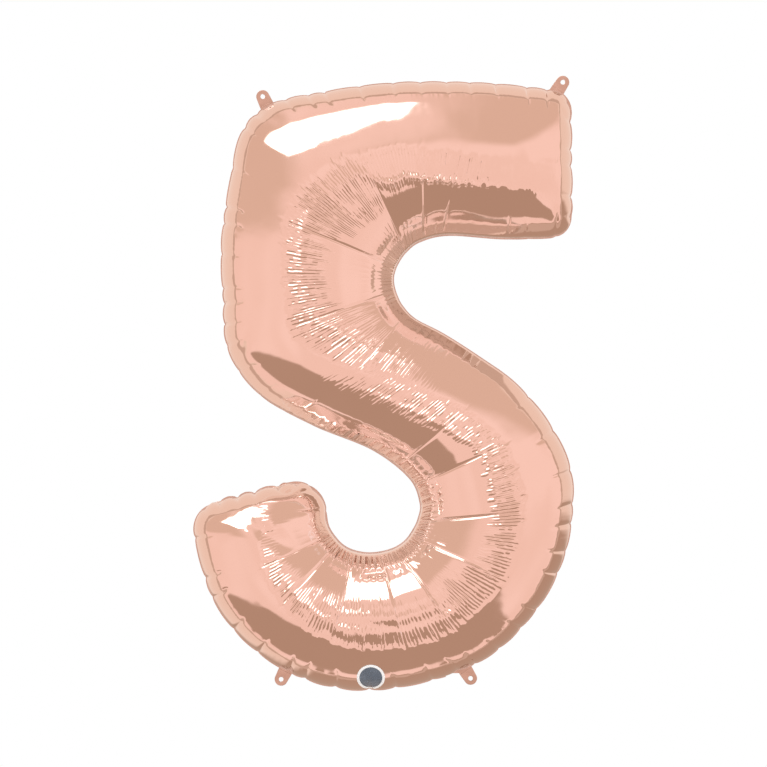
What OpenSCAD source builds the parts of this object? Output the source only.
// Foil number balloon: the figure 5, inflated, with a self-sealing valve and four hanging tabs.
// X runs across the figure, Y through it with the front at -Y, and Z up. The weld lies in the plane Y = 0.

/* [Figure] */
// Height of the inflated figure, without its tabs
figure_h = 861; // [700:1:950]
// How deep the thickest stretch of the tube is, front to back
tube_depth = 200; // [160:1:220]
// Width of the flat edge outside the inflated tube
edge_w = 5; // [4:0.5:8]

/* [Film] */
// Thickness of one foil panel
film_t = 0.15; // [0.15:0.05:0.25]
// Thickness of the weld between the two panels
weld_t = 0.3; // [0.3:0.05:0.4]

/* [Hanging tabs] */
// Thickness of a tab: both films and the bond between them
tab_t = 0.65; // [0.65:0.05:0.8]
// Radius of a tab's round head
tab_head_r = 9.2; // [7:0.1:11]
// Width of a tab where it leaves the edge
tab_root_w = 20; // [16:0.5:24]
// Distance from the tab's root to the middle of its hole
tab_reach = 12; // [11.5:0.5:16]
// Radius of the punched hole
hole_r = 3.25; // [2.5:0.05:4]
// Width of the bridge of film that holds the punched disc
bridge_w = 2.2; // [1.5:0.1:2.6]
// How far each punched disc is folded back behind its tab, in degrees from lying flat in its hole
disc_open = 100; // [95:1:115]
// Clearance round everything that moves
clearance = 0.3; // [0.2:0.05:0.4]

/* [Valve] */
// Width of the valve's two films
valve_w = 15; // [10:0.5:16]
// Length of the free part of each film, inside the balloon
valve_l = 105; // [60:1:120]
// Thickness of one valve film
valve_film_t = 0.1; // [0.08:0.01:0.12]

/* [Fineness] */
// Rows of facets between two ribs
rows_per_rib = 3; // [2:1:4]
// Facets across the tube
facets_across = 16; // [12:2:20]

/* [Hidden] */

foil_colour = [0.93, 0.74, 0.67];
tab_colour = [0.78, 0.6, 0.52];
clear_colour = [0.9, 0.92, 0.93];
print_colour = [0.55, 0.6, 0.62];

// Ribs across the tube at the drawn height of 861, from the right end of the top bar to the tip of the
// tail: x and z on the left-hand seam, x and z on the right-hand seam, and the depth as a part of the most.
drawn_h = 861;
RIBS = [
    [[230, 850], [232, 638], 0.84],     // top bar
    [[150, 858], [166, 637], 0.90],
    [[64, 860.5], [90, 642], 0.92],
    [[0, 858], [50, 633], 0.94],
    [[-76, 848], [30, 618], 0.97],      // round the upper notch
    [[-159, 830], [19, 602], 1.00],
    [[-202, 791], [14, 589], 1.00],
    [[-220, 716], [13, 580], 1.00],
    [[-231, 640], [14, 571], 1.00],
    [[-230, 560], [18, 558], 0.98],
    [[-222, 481], [26, 543], 0.96],
    [[-178, 419], [44, 525], 0.95],     // the slope
    [[-102, 375], [84, 504], 0.95],
    [[-18, 340], [137, 470], 0.94],
    [[34, 300], [186, 434], 0.93],      // round the bowl
    [[49, 265], [232, 380], 0.92],
    [[46, 243], [262, 318], 0.92],
    [[39, 228], [266, 255], 0.92],
    [[29, 214], [252, 184], 0.92],
    [[15, 204], [216, 116], 0.92],
    [[-3, 198], [154, 53], 0.92],
    [[-23, 196], [76, 17], 0.92],
    [[-42, 199], [-28, 0], 0.92],
    [[-57, 206], [-119, 18], 0.91],
    [[-69, 218], [-194, 66], 0.88],     // tail
    [[-79, 235], [-244, 131], 0.84],
    [[-82, 260], [-269, 212], 0.78]
];
// Each end: how far it runs past its last rib, and how much its corners are rounded
BAR_END = [34, 34];
TAIL_END = [50, 46];
// Length over which the tube rises from an end's weld to its full depth
end_rise = 85;
cap_rows = 5;

size_ratio = figure_h / drawn_h;
weld_half = weld_t / 2;
last_rib = len(RIBS) - 1;

function mix(a, b, t) = a + (b - a) * t;
function unit(v) = v / norm(v);
function turn_left(v) = [-v[1], v[0]];

// A smooth curve through four values: the stretch between b and c
function spline(a, b, c, d, t) =
    (2 * b + (c - a) * t + (2 * a - 5 * b + 4 * c - d) * t * t + (3 * b - a - 3 * c + d) * t * t * t) / 2;
function rib(i) = RIBS[min(max(i, 0), last_rib)];
function rib_at(i, t, col) = spline(rib(i - 1)[col], rib(i)[col], rib(i + 1)[col], rib(i + 2)[col], t);
SPANS = [for (i = [0:last_rib - 1], r = [0:rows_per_rib - 1])
            [for (col = [0:2]) rib_at(i, r / rows_per_rib, col) * (col < 2 ? size_ratio : 1)]];
BODY_ROWS = concat(SPANS, [[size_ratio * rib(last_rib)[0], size_ratio * rib(last_rib)[1], rib(last_rib)[2]]]);

// A row moved in from both seams
function inset_row(row, inset) =
    let (u = unit(row[1] - row[0])) [row[0] + inset * u, row[1] - inset * u, row[2]];
// The rows of a rounded end beyond a rib, where out is the way that the end faces
function cap(row, out, end, inset) =
    let (mid = (row[0] + row[1]) / 2, u = unit(row[1] - row[0]), half = norm(row[1] - row[0]) / 2)
    [for (c = [1:cap_rows])
        let (a = 90 * c / cap_rows, past = (size_ratio * end[0] - inset) * sin(a),
             side = half - inset - (size_ratio * end[1] - inset) * (1 - cos(a)))
        [mid + past * out - side * u, mid + past * out + side * u, row[2]]];
function reversed(list) = [for (i = [len(list) - 1:-1:0]) list[i]];
function rows(inset) =
    let (first = BODY_ROWS[0], last = BODY_ROWS[len(BODY_ROWS) - 1])
    concat(reversed(cap(first, turn_left(unit(first[1] - first[0])), BAR_END, inset)),
           [for (row = BODY_ROWS) inset_row(row, inset)],
           cap(last, -turn_left(unit(last[1] - last[0])), TAIL_END, inset));

OUTLINE = rows(0);
last_row = len(OUTLINE) - 1;
last_col = facets_across;
// Distance of each row from the start of the tube, along its middle
function middle(row) = (row[0] + row[1]) / 2;
function run_to(i) = i == 0 ? 0 : run_to(i - 1) + norm(middle(OUTLINE[i]) - middle(OUTLINE[i - 1]));
RUN = [for (i = [0:last_row]) run_to(i)];
function end_factor(i) =
    let (rise = size_ratio * end_rise, from_top = 1 - min(RUN[i], RUN[last_row] - RUN[i], rise) / rise)
    sqrt(1 - from_top * from_top);

// The figure is centred on X by its own width
SEAM_X = [for (row = OUTLINE) each [row[0][0], row[1][0]]];
SEAM_Z = [for (row = OUTLINE) each [row[0][1], row[1][1]]];
centre_x = (min(SEAM_X) + max(SEAM_X)) / 2;
base_z = min(SEAM_Z);
function placed(p) = p - [centre_x, base_z];

// Points across a row are closest together at the seams, where the tube is steep
function across(j) = (1 - cos(180 * j / last_col)) / 2;
function plan(grid, i, j) = placed(mix(grid[i][0], grid[i][1], across(j)));
function lifted(p, y) = [p[0], y, p[1]];
// One skin of the tube over the whole figure
function skin(inset, start_y, depth) =
    let (grid = rows(inset))
    [for (i = [0:last_row], j = [0:last_col])
        lifted(plan(grid, i, j), -start_y - depth * grid[i][2] * end_factor(i) * sin(180 * j / last_col))];
// The grid places round the figure's edge, in order
EDGE = concat([for (i = [0:last_row - 1]) [i, 0]], [for (j = [0:last_col - 1]) [last_row, j]],
              [for (i = [last_row:-1:1]) [i, last_col]], [for (j = [last_col:-1:1]) [0, j]]);
EDGE_N = len(EDGE);
function edge_loop(inset) = let (grid = rows(inset)) [for (e = EDGE) plan(grid, e[0], e[1])];
OUTER_LOOP = edge_loop(0);

// The tabs: the middle of the root on the edge, and the way that the tab points in degrees from +X
TAB_TOP_LEFT = [size_ratio * [-167, 827.5], 115];
TAB_TOP_RIGHT = [size_ratio * [244.4, 848.6], 57];
TAB_BOTTOM_LEFT = [size_ratio * [-140.7, 27.7], -117];
TAB_BOTTOM_RIGHT = [size_ratio * [114.5, 28.5], -58];
TABS = [TAB_TOP_LEFT, TAB_TOP_RIGHT, TAB_BOTTOM_LEFT, TAB_BOTTOM_RIGHT];
foot_depth = 14;
// The disc's bridge ends in a round crease this far from the middle of the hole, and the slot in the tab
// runs on past the crease so that the bridge can fold right back
disc_hinge_at = hole_r + tab_t / 2 + 0.1;
slot_past_hinge = tab_t / 2 + 0.4;

// The inlet: a flat neck beside the bottom right tab, whose mouth faces down
inlet_x = 95 * size_ratio;
inlet_z = 25.5 * size_ratio;
neck_border = 2;
neck_w = valve_w + 2 * neck_border;
neck_h = 16;
mouth_l = 12;
mouth_top = inlet_z + mouth_l;
mouth_recess = 0.5;
valve_slot_past_mouth = 8;
coating_border = 1.5;

module upright(t) { rotate([90, 0, 0]) linear_extrude(t, center = true) children(); }

// One panel of film: the front one, or its mirror image
module foil_panel() {
    grid_n = (last_row + 1) * (last_col + 1);
    outer_skin = skin(edge_w, weld_half + film_t, tube_depth / 2 - film_t);
    inner_skin = skin(edge_w + film_t, weld_half, tube_depth / 2 - film_t);
    outer_rim = [for (p = OUTER_LOOP) lifted(p, -weld_half - film_t)];
    inner_rim = [for (p = OUTER_LOOP) lifted(p, -weld_half)];
    function at(layer, i, j) = layer * grid_n + i * (last_col + 1) + j;
    function edge_at(layer, e) = at(layer, EDGE[e % EDGE_N][0], EDGE[e % EDGE_N][1]);
    function rim_at(layer, e) = 2 * grid_n + layer * EDGE_N + e % EDGE_N;
    skin_faces = [for (i = [0:last_row - 1], j = [0:last_col - 1], half = [0, 1], layer = [0, 1])
        let (a = at(layer, i, j), b = at(layer, i + 1, j),
             c = at(layer, i + 1, j + 1), d = at(layer, i, j + 1),
             face = half == 0 ? [a, b, c] : [a, c, d])
        layer == 0 ? reversed(face) : face];
    edge_faces = [for (e = [0:EDGE_N - 1], half = [0, 1], layer = [0, 1])
        let (a = edge_at(layer, e), b = edge_at(layer, e + 1), c = rim_at(layer, e + 1), d = rim_at(layer, e),
             face = half == 0 ? [a, b, c] : [a, c, d])
        layer == 0 ? face : reversed(face)];
    wall_faces = [for (e = [0:EDGE_N - 1], half = [0, 1])
        let (a = rim_at(0, e), b = rim_at(0, e + 1), c = rim_at(1, e + 1), d = rim_at(1, e))
        half == 0 ? [a, b, c] : [a, c, d]];
    polyhedron(concat(outer_skin, inner_skin, outer_rim, inner_rim),
               concat(skin_faces, edge_faces, wall_faces), convexity = 8);
}

module front_foil_panel() { color(foil_colour) foil_panel(); }
module rear_foil_panel() { color(foil_colour) mirror([0, 1, 0]) foil_panel(); }

// Moves a child drawn at the origin and pointing along +X to a tab's root
module at_tab(tab) { translate(lifted(placed(tab[0]), 0)) rotate([0, -tab[1], 0]) children(); }

// The weld between the panels, with the flat feet that carry the tabs and the neck of the inlet
module perimeter_weld() {
    color(tab_colour) difference() {
        union() {
            upright(weld_t) difference() {
                polygon(OUTER_LOOP);
                polygon(edge_loop(edge_w + film_t));
            }
            difference() {
                union() {
                    for (tab = TABS)
                        at_tab(tab) translate([-foot_depth, -tab_t / 2, -tab_root_w / 2])
                            cube([foot_depth - tab_t / 2 - clearance, tab_t, tab_root_w]);
                    translate([placed([inlet_x, 0])[0] - neck_w / 2, -tab_t / 2, placed([0, inlet_z])[1]])
                        cube([neck_w, tab_t, neck_h]);
                }
                upright(1) polygon(OUTER_LOOP);
            }
        }
        // The valve's slot, open at the bottom and running on past the mouth into the balloon
        valve_strip(valve_w, inlet_z - 1, mouth_l + 1 + valve_slot_past_mouth, -weld_half, weld_half);
    }
}

module tab() {
    difference() {
        union() {
            upright(tab_t) polygon([[0, -tab_root_w / 2], [tab_reach, -tab_head_r],
                                    [tab_reach, tab_head_r], [0, tab_root_w / 2]]);
            translate([tab_reach, 0, 0]) rotate([90, 0, 0])
                cylinder(h = tab_t, r = tab_head_r, center = true, $fn = 64);
            cylinder(h = tab_root_w, d = tab_t, center = true, $fn = 24);
        }
        translate([tab_reach, 0, 0]) rotate([90, 0, 0]) cylinder(h = 2, r = hole_r, center = true, $fn = 48);
        translate([tab_reach, -1, -bridge_w / 2 - clearance])
            cube([disc_hinge_at + slot_past_hinge, 2, bridge_w + 2 * clearance]);
    }
}
module tab_top_left() { color(tab_colour) at_tab(TAB_TOP_LEFT) tab(); }
module tab_top_right() { color(tab_colour) at_tab(TAB_TOP_RIGHT) tab(); }
module tab_bottom_left() { color(tab_colour) at_tab(TAB_BOTTOM_LEFT) tab(); }
module tab_bottom_right() { color(tab_colour) at_tab(TAB_BOTTOM_RIGHT) tab(); }

// The disc left by the C-shaped cut, folded back on the bridge that it swings on
module punched_disc() {
    translate([tab_reach + disc_hinge_at, 0, 0]) rotate([0, 0, -disc_open]) {
        translate([-disc_hinge_at, 0, 0]) rotate([90, 0, 0])
            cylinder(h = tab_t, r = hole_r - clearance, center = true, $fn = 48);
        translate([-disc_hinge_at, -tab_t / 2, -bridge_w / 2]) cube([disc_hinge_at, tab_t, bridge_w]);
        cylinder(h = bridge_w, d = tab_t, center = true, $fn = 24);
    }
}
module punched_disc_top_left() { color(tab_colour) at_tab(TAB_TOP_LEFT) punched_disc(); }
module punched_disc_top_right() { color(tab_colour) at_tab(TAB_TOP_RIGHT) punched_disc(); }
module punched_disc_bottom_left() { color(tab_colour) at_tab(TAB_BOTTOM_LEFT) punched_disc(); }
module punched_disc_bottom_right() { color(tab_colour) at_tab(TAB_BOTTOM_RIGHT) punched_disc(); }

// A strip of the valve: its low end, its length, and the two y values of its faces
module valve_strip(width, low, length, y0, y1) {
    translate([placed([inlet_x, 0])[0] - width / 2, y0, placed([0, low])[1]]) cube([width, y1 - y0, length]);
}
module valve_mouth() {
    for (side = [-1, 1])
        color(clear_colour) valve_strip(valve_w, inlet_z + mouth_recess, mouth_l - mouth_recess,
                                        side < 0 ? -weld_half : weld_half - valve_film_t,
                                        side < 0 ? -weld_half + valve_film_t : weld_half);
}
module release_coating() {
    inside = weld_half - valve_film_t;
    color(print_colour) valve_strip(valve_w - 2 * coating_border, inlet_z + mouth_recess,
                                    mouth_l - mouth_recess, -inside, inside);
}
// The free part of one film, with the round crease at its low end that it opens on
module valve_film(middle_y) {
    low = mouth_top + clearance;
    color(clear_colour) {
        valve_strip(valve_w, low, valve_l, middle_y - valve_film_t / 2, middle_y + valve_film_t / 2);
        translate([placed([inlet_x, 0])[0], middle_y, placed([0, low])[1]]) rotate([0, 90, 0])
            cylinder(h = valve_w, d = valve_film_t, center = true, $fn = 24);
    }
}
module valve_front_film() { valve_film(-weld_half + valve_film_t / 2); }
module valve_rear_film() { valve_film(weld_half - valve_film_t / 2); }

front_foil_panel();
rear_foil_panel();
perimeter_weld();
tab_top_left();
tab_top_right();
tab_bottom_left();
tab_bottom_right();
punched_disc_top_left();
punched_disc_top_right();
punched_disc_bottom_left();
punched_disc_bottom_right();
valve_mouth();
release_coating();
valve_front_film();
valve_rear_film();
